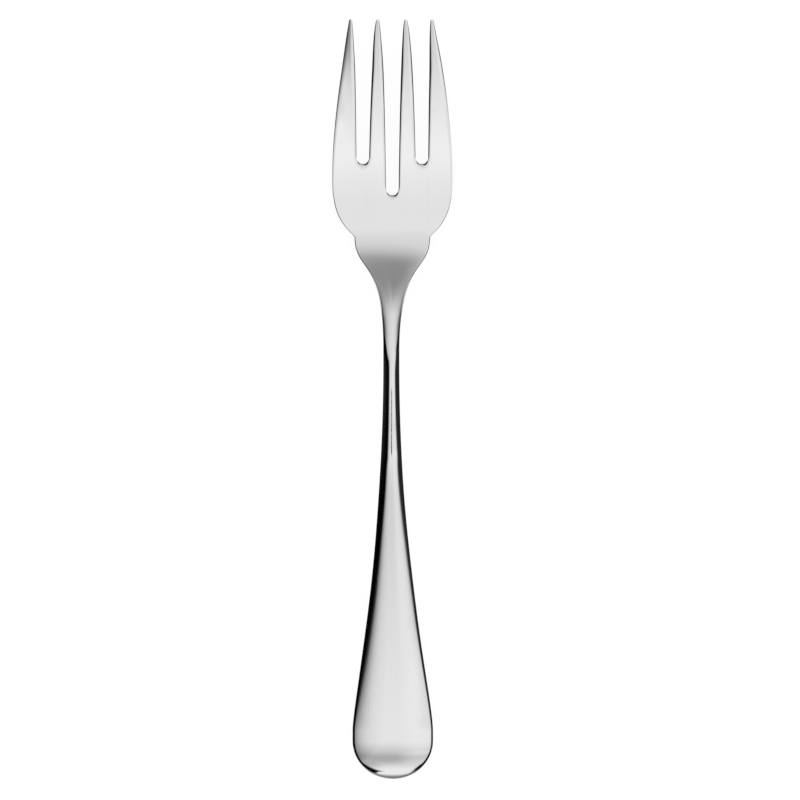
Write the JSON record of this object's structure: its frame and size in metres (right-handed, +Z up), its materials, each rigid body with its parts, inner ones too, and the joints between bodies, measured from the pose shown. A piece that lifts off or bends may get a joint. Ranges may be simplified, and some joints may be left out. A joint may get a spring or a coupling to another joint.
{
  "type": "fish fork",
  "caption": "Fish fork in one piece of polished stainless steel: broad notched head, tapering pointed tines, slim arched stem and a handle that widens to a rounded end.",
  "frame": {"origin": "on the table plane, at the middle of the overall length, on the fork's plane of symmetry", "axes": "+Y runs along the fork from the handle to the tips of the tines, +Z is up off the table with the hollow side of the head facing up, +X is to the right seen from above with the tines pointing away"},
  "size_m": [0.0294, 0.185, 0.0141],
  "materials": {
    "polished_steel": "polished"
  },
  "bodies": {
    "root": {"fish_fork": "polished_steel"}
  },
  "joints": []
}
